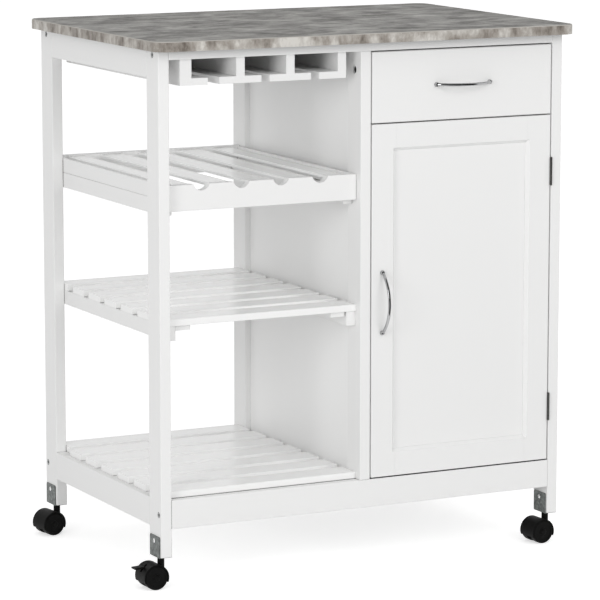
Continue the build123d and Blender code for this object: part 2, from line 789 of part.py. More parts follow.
with BuildPart() as door_panel:
    with BuildSketch(door_face_plane.offset(-panel_back)):
        Rectangle(throat_width + 2 * door_panel_tongue, throat_height + 2 * door_panel_tongue)
    extrude(amount=door_panel_thickness)
door_panel.part.label = "door_panel"
export_step(door_panel.part, "parts/door_panel.step")

# Bow handles: an arched bar on two round feet, with the screws that hold it.
for name, seat in handle_seats.items():
    half_spacing = handle_screw_spacing / 2
    bow_plane = Plane(origin=seat.origin, x_dir=seat.x_dir, z_dir=-seat.y_dir)
    with BuildPart() as handle:
        with BuildLine(bow_plane) as bow:
            ThreePointArc(
                (-half_spacing, handle_foot_length / 2),
                (0, handle_projection - handle_bar_radius),
                (half_spacing, handle_foot_length / 2),
            )
        with BuildSketch(Plane(origin=bow.line @ 0, z_dir=bow.line % 0)):
            Circle(handle_bar_radius)
        sweep()
        with BuildSketch(seat):
            with Locations((-half_spacing, 0), (half_spacing, 0)):
                Circle(handle_foot_radius)
        extrude(amount=handle_foot_length)
        with BuildSketch(seat) as threads:
            with Locations((-half_spacing, 0), (half_spacing, 0)):
                Circle(handle_screw_radius + screw_clearance)
        extrude(threads.sketch, amount=handle_screw_engagement + screw_clearance, mode=Mode.SUBTRACT)
        with BuildSketch(seat.offset(handle_screw_engagement)):
            with Locations((-half_spacing, 0), (half_spacing, 0)):
                Circle(handle_screw_radius)
        extrude(amount=-handle_reach)
        with BuildSketch(seat.offset(-front_thickness)):
            with Locations((-half_spacing, 0), (half_spacing, 0)):
                Circle(handle_screw_head_radius)
        extrude(amount=-handle_screw_head_height)
    handle.part.label = name
    export_step(handle.part, f"parts/{name}.step")

# Hinges: two leaves in the gap beside the door, and a pin through their knuckles.
hinge_x = cabinet_right - front_gap / 2
hinge_y = front - hinge_axis_stand_off
knuckle_height = hinge_height / 3
leaf_back = front + hinge_leaf_depth


def knuckle(level, height):
    """Add a barrel on the hinge's axis."""
    with BuildSketch(Plane((hinge_x, hinge_y, level))) as ring:
        Circle(hinge_knuckle_radius)
    extrude(ring.sketch, amount=height)


def leaf_plate(face_x, side, low_y, level, height):
    """Add a flat plate lying on the wooden face at face_x, from low_y to the leaf's back edge."""
    plate_plane = Plane((face_x + side * hinge_leaf_gauge / 2, (low_y + leaf_back) / 2, level))
    with BuildSketch(plate_plane) as plate:
        Rectangle(hinge_leaf_gauge, leaf_back - low_y)
    extrude(plate.sketch, amount=height)


def bore_knuckles(level):
    """Cut the pin's hole through the barrels of one hinge."""
    drill(Plane((hinge_x, hinge_y, level)), hinge_pin_radius + hinge_pin_clearance, hinge_height)


hinge_levels = [door_level + lower_hinge_rise, door_top - upper_hinge_drop]
hinge_feet = [level - hinge_height / 2 for level in hinge_levels]
outer_knuckle = knuckle_height - hinge_knuckle_gap / 2
leaf_start = front + hinge_leaf_relief
with BuildPart() as hinge_frame_leaves:
    for foot in hinge_feet:
        leaf_plate(cabinet_right, -1, leaf_start, foot, hinge_height)
        for knuckle_foot in (foot, foot + hinge_height - outer_knuckle):
            knuckle(knuckle_foot, outer_knuckle)
            leaf_plate(cabinet_right, -1, hinge_y, knuckle_foot, outer_knuckle)
        bore_knuckles(foot)
    for foot in hinge_feet:
        with BuildSketch(Plane((hinge_x, hinge_y, foot))) as pin:
            Circle(hinge_pin_radius)
        extrude(pin.sketch, amount=hinge_height)
hinge_frame_leaves.part.label = "hinge_frame_leaves"
export_step(hinge_frame_leaves.part, "parts/hinge_frame_leaves.step")

inner_knuckle = knuckle_height - hinge_knuckle_gap
with BuildPart() as hinge_door_leaves:
    for foot in hinge_feet:
        knuckle_foot = foot + knuckle_height + hinge_knuckle_gap / 2
        leaf_plate(door_right, 1, leaf_start, foot, hinge_height)
        knuckle(knuckle_foot, inner_knuckle)
        leaf_plate(door_right, 1, hinge_y, knuckle_foot, inner_knuckle)
        bore_knuckles(foot)
hinge_door_leaves.part.label = "hinge_door_leaves"
export_step(hinge_door_leaves.part, "parts/hinge_door_leaves.step")

# Magnetic catch on the divider and its steel strike on the door's back.
strike_back = fronts_back + strike_gauge
catch_middle_y = strike_back + catch_gap + catch_length / 2
catch_level = door_top - catch_drop
with BuildPart() as door_catch:
    with BuildSketch(Plane((cabinet_left + catch_width / 2, catch_middle_y, catch_level))):
        Rectangle(catch_width, catch_length)
    extrude(amount=catch_height)
door_catch.part.label = "door_catch"
export_step(door_catch.part, "parts/door_catch.step")

with BuildPart() as door_strike:
    strike_x = (door_left + cabinet_left + catch_width) / 2
    with BuildSketch(Plane((strike_x, fronts_back + strike_gauge / 2, catch_level))):
        Rectangle(cabinet_left + catch_width - door_left, strike_gauge)
    extrude(amount=catch_height)
door_strike.part.label = "door_strike"
export_step(door_strike.part, "parts/door_strike.step")

# Casters stand under the middle of each corner post.
stem_left = left + post_width / 2
stem_right = right - post_width / 2
caster_seats = {
    "front_left": (stem_left, front_post_middle),
    "front_right": (stem_right, front_post_middle),
    "rear_left": (stem_left, rear_post_middle),
    "rear_right": (stem_right, rear_post_middle),
}

# Caster brackets: folded plates round the posts' feet, each with its riveted stem.
bracket_base = caster_height - bracket_gauge
collar_bottom = bracket_base - collar_height
bracket_top = caster_height + bracket_leg_height
with BuildPart() as caster_brackets:
    for stem_x, stem_y in caster_seats.values():
        fold_plane = Plane(origin=(stem_x, stem_y, bracket_base), x_dir=(1, 0, 0), z_dir=(0, -1, 0))
        with BuildSketch(fold_plane):
            with Locations((0, (bracket_top - bracket_base) / 2)):
                Rectangle(post_width + 2 * bracket_gauge, bracket_top - bracket_base)
            with Locations((0, bracket_gauge + (bracket_top - caster_height) / 2)):
                Rectangle(post_width, bracket_top - caster_height, mode=Mode.SUBTRACT)
        extrude(amount=bracket_width / 2, both=True)
        screw_plane = Plane(origin=(stem_x - post_width, stem_y, bracket_screw_level), z_dir=(1, 0, 0))
        drill(screw_plane, bracket_screw_radius + screw_clearance, 2 * post_width)
        with BuildSketch(Plane((stem_x, stem_y, collar_bottom))):
            Circle(collar_radius)
        extrude(amount=collar_height)
        with BuildSketch(Plane((stem_x, stem_y, bracket_base - stem_length))):
            Circle(stem_radius)
        extrude(amount=stem_length)
    leg_tips = caster_brackets.edges().filter_by(Axis.X).group_by(Axis.Z)[-1]
    fillet(leg_tips, bracket_corner_radius)
caster_brackets.part.label = "caster_brackets"
export_step(caster_brackets.part, "parts/caster_brackets.step")

# Bracket screws: two short pan-head screws in each bracket, one from each side.
with BuildPart() as bracket_screws:
    for stem_x, stem_y in caster_seats.values():
        for side in (-1, 1):
            face_x = stem_x + side * (post_width / 2 + bracket_gauge)
            head_plane = Plane(origin=(face_x, stem_y, bracket_screw_level), z_dir=(side, 0, 0))
            with BuildSketch(head_plane):
                Circle(bracket_screw_head_radius)
            extrude(amount=bracket_screw_head_height)
            with BuildSketch(head_plane):
                Circle(bracket_screw_radius)
            extrude(amount=-bracket_screw_length)
bracket_screws.part.label = "bracket_screws"
export_step(bracket_screws.part, "parts/bracket_screws.step")

# Casters: a hood on the stem, two wheels on one axle, and a brake lever on two of them.
hood_inner = wheel_radius + hood_clearance
hood_outer = hood_inner + hood_wall
hood_span = 2 * hood_outer
wheel_start = web_thickness / 2 + web_clearance
wheel_end = wheel_start + wheel_thickness
hood_half_width = wheel_end
axle_level = wheel_radius
neck_top = collar_bottom - neck_gap
stem_bore_depth = neck_top - (bracket_base - stem_length) + neck_gap
axle_half_length = wheel_end - hub_cover
lever_pivot_distance = math.hypot(lever_pivot_reach, lever_pivot_rise)
pivot_x = caster_trail + lever_pivot_reach
pivot_z = axle_level + lever_pivot_rise
tab_root_x = caster_trail + lever_tab_start
tab_root_z = axle_level + lever_tab_rise
tab_tip_x = caster_trail + lever_tab_end
tab_tip_z = axle_level + lever_tab_tip_rise
for corner, (stem_x, stem_y) in caster_seats.items():
    heading = math.radians(caster_headings[corner])
    trail_x = -math.cos(heading)
    trail_y = -math.sin(heading)
    side_plane = Plane(
        origin=(stem_x, stem_y, 0), x_dir=(trail_x, trail_y, 0), z_dir=(trail_y, -trail_x, 0)
    )
    braked = corner in braked_casters

    # Hood: a fender over both wheels, a web between them and a neck round the stem.
    with BuildPart() as housing:
        with BuildSketch(side_plane):
            with Locations((caster_trail, axle_level)):
                Circle(hood_outer)
        extrude(amount=hood_half_width, both=True)
        fillet(housing.edges().filter_by(GeomType.CIRCLE), hood_edge_radius)
        with BuildSketch(Plane((stem_x, stem_y, axle_level))):
            Circle(neck_radius)
        extrude(amount=neck_top - axle_level)
        for side in (-1, 1):
            with BuildSketch(side_plane.offset(side * web_thickness / 2)) as well:
                with Locations((caster_trail, axle_level)):
                    Circle(hood_inner)
            extrude(well.sketch, amount=side * wheel_end, mode=Mode.SUBTRACT)
        with BuildSketch(side_plane) as skirt_cut:
            with Locations((caster_trail, hood_skirt_level - hood_outer)):
                Rectangle(2 * hood_span, hood_span)
        extrude(skirt_cut.sketch, amount=2 * hood_half_width, both=True, mode=Mode.SUBTRACT)
        axle_origin = side_plane.from_local_coords((caster_trail, axle_level, -web_thickness))
        axle_plane = Plane(origin=axle_origin, z_dir=side_plane.z_dir)
        drill(axle_plane, axle_radius + axle_play, 2 * web_thickness)
        neck_plane = Plane(origin=(stem_x, stem_y, neck_top), z_dir=(0, 0, -1))
        drill(neck_plane, stem_radius + stem_clearance, stem_bore_depth)
        if braked:
            with BuildSketch(side_plane) as lever_slot:
                with BuildLine():
                    inner = CenterArc(
                        (caster_trail, axle_level),
                        lever_pivot_distance - lever_slot_depth,
                        lever_slot_low_angle,
                        lever_slot_high_angle - lever_slot_low_angle,
                    )
                    outer = CenterArc(
                        (caster_trail, axle_level),
                        hood_outer + hood_wall,
                        lever_slot_low_angle,
                        lever_slot_high_angle - lever_slot_low_angle,
                    )
                    Line(inner @ 0, outer @ 0)
                    Line(inner @ 1, outer @ 1)
                make_face()
            extrude(
                lever_slot.sketch,
                amount=lever_blade_thickness / 2 + lever_slot_clearance,
                both=True,
                mode=Mode.SUBTRACT,
            )
            pivot_origin = side_plane.from_local_coords((pivot_x, pivot_z, -web_thickness))
            pivot_plane = Plane(origin=pivot_origin, z_dir=side_plane.z_dir)
            drill(pivot_plane, lever_pivot_radius + axle_play, 2 * web_thickness)
    housing_name = f"caster_housing_{corner}"
    housing.part.label = housing_name
    export_step(housing.part, f"parts/{housing_name}.step")

    # Wheels: two dished discs pressed on one axle, which turns in the web.
    with BuildPart() as wheels:
        for side in (-1, 1):
            with BuildSketch(side_plane.offset(side * wheel_start)) as disc:
                with Locations((caster_trail, axle_level)):
                    Circle(wheel_radius)
            extrude(disc.sketch, amount=side * wheel_thickness)
        fillet(wheels.edges().filter_by(GeomType.CIRCLE), wheel_edge_radius)
        for side in (-1, 1):
            with BuildSketch(side_plane.offset(side * (wheel_end - wheel_dish_depth))) as dish:
                with Locations((caster_trail, axle_level)):
                    Circle(wheel_dish_outer)
                    Circle(wheel_dish_inner, mode=Mode.SUBTRACT)
            extrude(dish.sketch, amount=side * wheel_dish_depth, mode=Mode.SUBTRACT)
        with BuildSketch(side_plane) as axle_hole:
            with Locations((caster_trail, axle_level)):
                Circle(axle_radius + axle_fit)
        extrude(axle_hole.sketch, amount=axle_half_length + axle_fit, both=True, mode=Mode.SUBTRACT)
        with BuildSketch(side_plane) as axle:
            with Locations((caster_trail, axle_level)):
                Circle(axle_radius)
        extrude(axle.sketch, amount=axle_half_length, both=True)
    wheels_name = f"caster_wheels_{corner}"
    wheels.part.label = wheels_name
    export_step(wheels.part, f"parts/{wheels_name}.step")

    # Brake lever: a blade in the web's slot with a foot tab outside the hood.
    if braked:
        with BuildPart() as lever:
            with BuildSketch(side_plane):
                with Locations((pivot_x, pivot_z)):
                    Circle(lever_boss_radius)
                with BuildLine():
                    Polyline(
                        (pivot_x - lever_boss_radius, pivot_z),
                        (tab_root_x, tab_root_z),
                        (tab_root_x + lever_blade_foot, tab_root_z - lever_tab_gauge),
                        (pivot_x + lever_boss_radius, pivot_z),
                        close=True,
                    )
                make_face()
            extrude(amount=lever_blade_thickness / 2, both=True)
            with BuildSketch(side_plane):
                with BuildLine():
                    Polyline(
                        (tab_root_x, tab_root_z),
                        (tab_tip_x, tab_tip_z),
                        (tab_tip_x, tab_tip_z - lever_tab_gauge),
                        (tab_root_x, tab_root_z - lever_tab_gauge),
                        close=True,
                    )
                make_face()
            extrude(amount=lever_tab_width / 2, both=True)
            with BuildSketch(side_plane):
                with Locations((pivot_x, pivot_z)):
                    Circle(lever_pivot_radius)
            extrude(amount=web_thickness / 2, both=True)
        lever_name = f"brake_lever_{corner}"
        lever.part.label = lever_name
        export_step(lever.part, f"parts/{lever_name}.step")
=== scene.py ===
import json
import math

import bmesh
import bpy
import numpy as np
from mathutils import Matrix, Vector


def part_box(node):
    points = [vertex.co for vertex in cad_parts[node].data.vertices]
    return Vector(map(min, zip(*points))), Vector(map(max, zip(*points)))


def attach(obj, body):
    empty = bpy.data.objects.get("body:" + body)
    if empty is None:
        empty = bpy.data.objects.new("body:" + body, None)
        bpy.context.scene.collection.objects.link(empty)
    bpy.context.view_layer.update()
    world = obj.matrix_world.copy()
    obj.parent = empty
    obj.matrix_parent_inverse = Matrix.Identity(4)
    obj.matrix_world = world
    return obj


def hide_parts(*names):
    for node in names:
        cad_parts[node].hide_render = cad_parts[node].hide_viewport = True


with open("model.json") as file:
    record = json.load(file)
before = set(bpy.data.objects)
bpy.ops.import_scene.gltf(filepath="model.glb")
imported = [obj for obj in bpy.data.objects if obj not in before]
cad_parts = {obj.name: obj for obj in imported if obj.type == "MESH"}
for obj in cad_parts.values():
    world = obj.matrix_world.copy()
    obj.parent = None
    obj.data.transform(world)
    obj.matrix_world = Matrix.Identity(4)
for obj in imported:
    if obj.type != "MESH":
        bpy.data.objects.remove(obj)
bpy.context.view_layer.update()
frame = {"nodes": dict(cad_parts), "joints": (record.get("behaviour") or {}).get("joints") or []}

# Camera: the photograph's view, from the cart's left front and a little above the
# worktop, far off with a long lens, so the posts stay nearly upright.
camera_place = (-2.47478, -4.88191, 1.29372)
downward_tilt, turn_to_right = 9.324, 26.889
lens_length, film_width = 203.906, 36.0

camera_data = bpy.data.cameras.new("camera")
camera_data.lens = lens_length
camera_data.sensor_width = film_width
camera_data.clip_end = 200.0
camera = bpy.data.objects.new("camera", camera_data)
camera.location = camera_place
camera.rotation_euler = (math.radians(90 - downward_tilt), 0.0, -math.radians(turn_to_right))
bpy.context.scene.collection.objects.link(camera)
bpy.context.scene.camera = camera
bpy.context.scene.view_settings.view_transform = "Standard"

# Studio: a wide pale floor in a white room, with two softboxes. Floor and room are white
# to the camera and in reflections, and the floor still takes the cart's soft shadow. A
# black card, seen only in reflections, draws the dark streaks on the metal.
floor_grey = (0.86, 0.86, 0.86, 1)
floor_fill, floor_half = 0.57, 60.0
white_light = (1, 1, 1, 1)
room_level = 0.58
lamp_aim = (0.0, 0.0, 0.45)
card_black = (0.004, 0.004, 0.004, 1)
card_half, card_front, card_foot, card_head = 0.75, -0.72, 0.03, 1.55


def feed(tree, node, **inputs):
    """Fills a node's inputs, each with a plain value or with the socket that feeds it.

    Spaces in an input's name are underscores, and i0, i1 and so on name inputs by number.
    """
    for name, value in inputs.items():
        by_number = name[1:].isdigit()
        socket = node.inputs[int(name[1:]) if by_number else name.replace("_", " ")]
        if isinstance(value, bpy.types.NodeSocket):
            tree.links.new(value, socket)
        else:
            socket.default_value = value


def shader_node(tree, kind, settings=None, **inputs):
    """Adds one node to the tree of a material or of the room, with its settings and inputs."""
    made = tree.nodes.new(kind)
    for setting, value in (settings or {}).items():
        setattr(made, setting, value)
    feed(tree, made, **inputs)
    return made


def worked(tree, operation, *values, clamped=False):
    """One sum, product or test of numbers and sockets."""
    settings = {"operation": operation, "use_clamp": clamped}
    inputs = {f"i{place}": value for place, value in enumerate(values)}
    return shader_node(tree, "ShaderNodeMath", settings, **inputs).outputs[0]


def spread(tree, value, start, end, low=0.0, high=1.0):
    """Carries low to high onto start to end along a straight line, and holds both ends."""
    return shader_node(
        tree, "ShaderNodeMapRange",
        Value=value, From_Min=low, From_Max=high, To_Min=start, To_Max=end,
    ).outputs[0]


def ray_is(tree, kind, *others):
    """Gives 1 to rays of any of the named kinds and 0 to all the rest."""
    path = shader_node(tree, "ShaderNodeLightPath")
    found = path.outputs[kind]
    for other in others:
        found = worked(tree, "ADD", found, path.outputs[other], clamped=True)
    return found


def studio_sheet(name, corners, finish):
    """A flat sheet of the studio, from its four corners."""
    mesh = bpy.data.meshes.new(name)
    mesh.from_pydata(corners, [], [(0, 1, 2, 3)])
    mesh.materials.append(finish)
    sheet = bpy.data.objects.new(name, mesh)
    bpy.context.scene.collection.objects.link(sheet)
    return sheet


def softbox(name, place, side, watts):
    """Hangs a square lamp at a place, turned so that its face points at the cart."""
    lamp_data = bpy.data.lights.new(name, "AREA")
    lamp_data.shape = "SQUARE"
    lamp_data.size = side
    lamp_data.energy = watts
    lamp = bpy.data.objects.new(name, lamp_data)
    away = np.subtract(lamp_aim, place)
    tilt = math.atan2(math.hypot(away[0], away[1]), -away[2])
    lamp.location = place
    lamp.rotation_euler = (tilt, 0.0, math.atan2(-away[0], away[1]))
    bpy.context.scene.collection.objects.link(lamp)


floor_paint = bpy.data.materials.new("studio floor")
floor_paint.use_nodes = True
tree = floor_paint.node_tree
tree.nodes.clear()
matt = shader_node(tree, "ShaderNodeBsdfDiffuse", Color=floor_grey)
fill = worked(tree, "MULTIPLY", ray_is(tree, "Is Camera Ray", "Is Glossy Ray"), floor_fill)
glow = shader_node(tree, "ShaderNodeEmission", Color=white_light, Strength=fill)
both = shader_node(tree, "ShaderNodeAddShader", i0=matt.outputs[0], i1=glow.outputs[0])
shader_node(tree, "ShaderNodeOutputMaterial", Surface=both.outputs[0])
floor_corners = [
    (-floor_half, -floor_half, 0), (floor_half, -floor_half, 0),
    (floor_half, floor_half, 0), (-floor_half, floor_half, 0),
]
floor = studio_sheet("floor", floor_corners, floor_paint)

world = bpy.data.worlds.new("white room")
world.use_nodes = True
bpy.context.scene.world = world
tree = world.node_tree
tree.nodes.clear()
straight = ray_is(tree, "Is Camera Ray", "Is Glossy Ray", "Is Transmission Ray")
level = spread(tree, straight, room_level, 1.0)
sky = shader_node(tree, "ShaderNodeBackground", Color=white_light, Strength=level)
shader_node(tree, "ShaderNodeOutputWorld", Surface=sky.outputs[0])

softbox("front softbox", place=(0.4, -3.8, 2.0), side=2.2, watts=41.0)
softbox("left softbox", place=(-3.1, -2.0, 1.25), side=1.2, watts=27.0)

felt_black = bpy.data.materials.new("black card")
felt_black.use_nodes = True
tree = felt_black.node_tree
tree.nodes.clear()
felt = shader_node(tree, "ShaderNodeBsdfDiffuse", Color=card_black)
shader_node(tree, "ShaderNodeOutputMaterial", Surface=felt.outputs[0])
card_corners = [
    (-card_half, card_front, card_foot), (card_half, card_front, card_foot),
    (card_half, card_front, card_head), (-card_half, card_front, card_head),
]
card = studio_sheet("card", card_corners, felt_black)
for other_ray in ("visible_camera", "visible_diffuse", "visible_shadow", "visible_transmission"):
    setattr(card, other_ray, False)

# Posts: six lacquered boards on end, four of them down to the casters. The paint is a
# satin white over board, with its faint brushed grain along each board's length. Beside
# the drawer and the door there is no painted shade; elsewhere the colour is painted
# greyer in corners, joints and gaps, as painted shade where little open air is near.
lacquer_white = (0.905, 0.905, 0.900, 1)
lacquer_shade = (0.873, 0.872, 0.864, 1)
# Painted shade: corners, joints and gaps are darkened towards this grey where little open air is within
# reach, at the usual strength or not at all.
painted_shade_grey = (0.26, 0.26, 0.255, 1)
painted_shade_reach, painted_shade_softness, edge_softness = 0.0045, 0.42, 0.0009
plain_painted_shade, no_painted_shade = 0.52, 0.0
satin = (0.34, 0.46)
along_grain, across_grain = 9.0, 190.0


def noise(tree, place, scale, detail, roughness=0.5):
    """Fractal noise over a place, between 0 and 1."""
    return shader_node(
        tree, "ShaderNodeTexNoise", Vector=place, Scale=scale, Detail=detail, Roughness=roughness
    )


def mixed(tree, amount, start, end):
    """A colour between two others: the start where the amount is 0, the end where it is 1."""
    return shader_node(
        tree, "ShaderNodeMix", {"data_type": "RGBA"}, Factor=amount, i6=start, i7=end
    ).outputs[2]


def relief(tree, height, strength, distance, **under):
    """Tilts the surface's normal up the slope of a height."""
    return shader_node(
        tree, "ShaderNodeBump", Strength=strength, Distance=distance, Height=height, **under
    ).outputs[0]


def softened(tree, radius):
    """A normal that rounds sharp edges off to a radius."""
    return shader_node(tree, "ShaderNodeBevel", {"samples": 4}, Radius=radius).outputs[0]


def new_finish(name):
    """Starts a finish, and gives it, its node tree, its shader and its Object coordinates."""
    finish = bpy.data.materials.new(name)
    finish.use_nodes = True
    tree = finish.node_tree
    place = shader_node(tree, "ShaderNodeTexCoord").outputs["Object"]
    return finish, tree, tree.nodes["Principled BSDF"], place


def lacquered(
    name, along, gloss=satin, painted_shade_from=plain_painted_shade,
    white=lacquer_white, shade=lacquer_shade, dark=painted_shade_grey,
):
    """White lacquer on a board whose grain runs along one axis.

    Cloudy shade times grain mixes the white with its shade, and where little open air is
    within reach of the surface the colour goes over to a painted shade, which darkens
    corners, joints and gaps where shade falls.
    """
    finish, tree, shader, place = new_finish(name)
    stretch = [along_grain if axis == along else across_grain for axis in "XYZ"]
    drawn_out = shader_node(tree, "ShaderNodeMapping", Vector=place, Scale=stretch).outputs[0]
    grain = noise(tree, drawn_out, 1.0, 5.0, 0.6).outputs[0]
    clouds = noise(tree, place, 7.0, 3.0).outputs[0]
    peel = noise(tree, place, 650.0, 2.0).outputs[0]
    shading = worked(tree, "MULTIPLY", worked(tree, "MULTIPLY_ADD", grain, 0.45, 0.05), clouds)
    coat = mixed(tree, shading, white, shade)
    # Painted shade: where the occlusion finds little open air, the colour goes over to the shade colour.
    open_air = shader_node(tree, "ShaderNodeAmbientOcclusion", {"samples": 6}, Distance=painted_shade_reach)
    painted_shade_amount = spread(tree, open_air.outputs["AO"], 1.0, 0.0, painted_shade_from - painted_shade_softness, painted_shade_from)
    brushed = worked(tree, "MULTIPLY_ADD", peel, 0.35, grain)
    feed(
        tree, shader,
        Base_Color=mixed(tree, painted_shade_amount, coat, dark),
        Roughness=spread(tree, grain, *gloss),
        Normal=relief(tree, brushed, 0.06, 0.0005, Normal=softened(tree, edge_softness)),
        Specular_IOR_Level=0.45,
    )
    return finish


def finish_nodes(finish, *names):
    """Gives CAD nodes their finish."""
    for name in names:
        coats = frame["nodes"][name].data.materials
        coats.clear()
        coats.append(finish)


upright_lacquer = lacquered("white lacquer upright", "Z")
front_upright_lacquer = lacquered("front lacquer upright", "Z", painted_shade_from=no_painted_shade)
finish_nodes(upright_lacquer, "post_front_left", "post_rear_left", "post_rear_middle", "post_rear_right")
finish_nodes(front_upright_lacquer, "post_front_middle", "post_front_right")

# Rails and apron: boards between the posts, held by bolts through the posts. Those
# between the left posts run from front to back. The lower front rail is painted with a
# near-black painted shade in the gap at its left end and along its upper edge.
lower_rail_painted_shade_from, lower_rail_painted_shade_colour = 0.86, (0.06, 0.06, 0.06, 1)
sideways_lacquer = lacquered("white lacquer sideways", "X")
front_sideways_lacquer = lacquered("front lacquer sideways", "X", painted_shade_from=no_painted_shade)
endways_lacquer = lacquered("white lacquer front to back", "Y")
lower_rail_lacquer = lacquered("shade-painted lacquer sideways", "X", painted_shade_from=lower_rail_painted_shade_from, dark=lower_rail_painted_shade_colour)
finish_nodes(front_sideways_lacquer, "top_rail_front")
finish_nodes(lower_rail_lacquer, "bottom_rail_front")
finish_nodes(sideways_lacquer, "top_rail_rear", "bottom_rail_rear")
finish_nodes(endways_lacquer, "bottom_rail_left", "top_apron_left")

# Bolts and barrel nuts: the bolts are grey zinc, with socket heads sunk into the posts'
# faces. The nuts lie across the rails' ends and are blackened steel.
black_oxide, tree, shader, place = new_finish("black oxide steel")
rubbed = noise(tree, place, 420.0, 5.0, 0.7).outputs[0]
feed(
    tree, shader,
    Base_Color=mixed(tree, rubbed, (0.006, 0.006, 0.007, 1), (0.026, 0.025, 0.024, 1)),
    Roughness=spread(tree, rubbed, 0.30, 0.62),
    Normal=relief(tree, rubbed, 0.15, 0.0003),
    Metallic=0.85,
)
finish_nodes(black_oxide, "barrel_nuts")

grey_zinc, tree, shader, place = new_finish("grey zinc")
clouded = noise(tree, place, 380.0, 5.0, 0.65).outputs[0]
feed(
    tree, shader,
    Base_Color=mixed(tree, clouded, (0.30, 0.31, 0.31, 1), (0.50, 0.505, 0.50, 1)),
    Roughness=spread(tree, clouded, 0.32, 0.52),
    Normal=relief(tree, clouded, 0.12, 0.0003),
    Metallic=0.6,
)
finish_nodes(grey_zinc, "frame_bolts")

# Cabinet panels: thin lacquered boards that close the bay's right side, the cabinet's
# right side and its back, over a floor board level with the bottom rails. The bay's own
# surfaces are painted a brighter white than the frame, painted light that stands in for
# the light in the bay, and the divider gets painted shade in its corners.
bay_painted_light_white, bay_painted_light_tone = (0.965, 0.965, 0.960, 1), (0.940, 0.939, 0.932, 1)
divider_painted_shade_from = 0.40
divider_lacquer = lacquered("inner lacquer upright", "Z", satin, divider_painted_shade_from, bay_painted_light_white, bay_painted_light_tone)
finish_nodes(divider_lacquer, "divider_panel")
finish_nodes(upright_lacquer, "right_side_panel", "back_panel")
finish_nodes(sideways_lacquer, "cabinet_floor")

# Worktop: board with a concrete-look laminate, trowelled along its length on top and
# browner and blotched round its edge band, where a painted highlight lightens the bevel
# to a thin bright line. Its underside is a near-black brown, partly the bare board's own
# brown and mostly painted shade that keeps the space under the worktop dark.
top_tones = (
    (0.34, (0.125, 0.121, 0.114, 1)),
    (0.50, (0.275, 0.268, 0.255, 1)),
    (0.66, (0.42, 0.412, 0.392, 1)),
)
band_tones = (
    (0.34, (0.150, 0.128, 0.108, 1)),
    (0.48, (0.36, 0.330, 0.297, 1)),
    (0.64, (0.66, 0.64, 0.60, 1)),
)
# Painted highlight on the bevel, and painted shade on the underside.
bevel_highlight_tone = (0.56, 0.54, 0.50, 1)
underside_painted_shade = (0.05, 0.047, 0.043, 1)


def toned(tree, amount, tones):
    """A colour read off a ramp of three tones, each at its own place on the ramp."""
    made = shader_node(tree, "ShaderNodeValToRGB", Fac=amount)
    ramp = made.color_ramp
    ramp.elements[0].position, ramp.elements[0].color = tones[0]
    ramp.elements[1].position, ramp.elements[1].color = tones[2]
    ramp.elements.new(tones[1][0]).color = tones[1][1]
    return made.outputs[0]


laminate, tree, shader, place = new_finish("concrete laminate")
facing = shader_node(tree, "ShaderNodeNewGeometry").outputs["True Normal"]
upward = shader_node(tree, "ShaderNodeSeparateXYZ", Vector=facing).outputs["Z"]

warp = noise(tree, place, 9.0, 3.0).outputs["Color"]
bent = shader_node(
    tree, "ShaderNodeVectorMath", {"operation": "MULTIPLY_ADD"},
    i0=warp, i1=(0.06, 0.06, 0.0), i2=place,
).outputs[0]
swept = shader_node(tree, "ShaderNodeMapping", Vector=bent, Scale=(13.0, 20.0, 1.0)).outputs[0]
patches = noise(tree, swept, 1.0, 8.0, 0.70).outputs[0]
trowelled = shader_node(tree, "ShaderNodeMapping", Vector=bent, Scale=(26.0, 75.0, 1.0)).outputs[0]
streaks = noise(tree, trowelled, 1.0, 6.0, 0.68).outputs[0]
specks = noise(tree, place, 260.0, 3.0, 0.7).outputs[0]
streak_tone = spread(tree, streaks, 0.64, 1.42, 0.32, 0.68)
speck_tone = spread(tree, specks, 0.90, 1.10, 0.3, 0.7)
top_colour = shader_node(
    tree, "ShaderNodeVectorMath", {"operation": "SCALE"},
    i0=toned(tree, patches, top_tones), Scale=worked(tree, "MULTIPLY", streak_tone, speck_tone),
).outputs[0]

banded = shader_node(tree, "ShaderNodeMapping", Vector=place, Scale=(30.0, 30.0, 17.0)).outputs[0]
blotches = noise(tree, banded, 1.0, 6.0, 0.66).outputs[0]
on_band = spread(tree, upward, 1.0, 0.0, 0.35, 0.45)
# Painted highlight: the bevel, half-way between top and side, is lightened towards the bevel tone.
on_painted_highlight = worked(tree, "MULTIPLY", worked(tree, "COMPARE", upward, 0.707, 0.12), 0.8)
on_underside = spread(tree, upward, 1.0, 0.0, -0.6, -0.5)
colour = mixed(tree, on_band, top_colour, toned(tree, blotches, band_tones))
colour = mixed(tree, on_painted_highlight, colour, bevel_highlight_tone)
dullness = spread(tree, patches, 0.72, 0.58, 0.3, 0.7)
feed(
    tree, shader,
    Base_Color=mixed(tree, on_underside, colour, underside_painted_shade),
    Roughness=worked(tree, "MULTIPLY_ADD", on_band, -0.25, dullness),
    Normal=relief(tree, worked(tree, "ADD", streaks, specks), 0.18, 0.0004),
    Specular_IOR_Level=0.18,
)
finish_nodes(laminate, "worktop")

# Stemware hangers: four lacquered runners of board, each with a foot along its lower
# edge, fixed under the top rails. Glasses hang by their feet in the slots between them.
finish_nodes(endways_lacquer, "glass_hanger_left", "glass_hangers_inner", "glass_hanger_right")

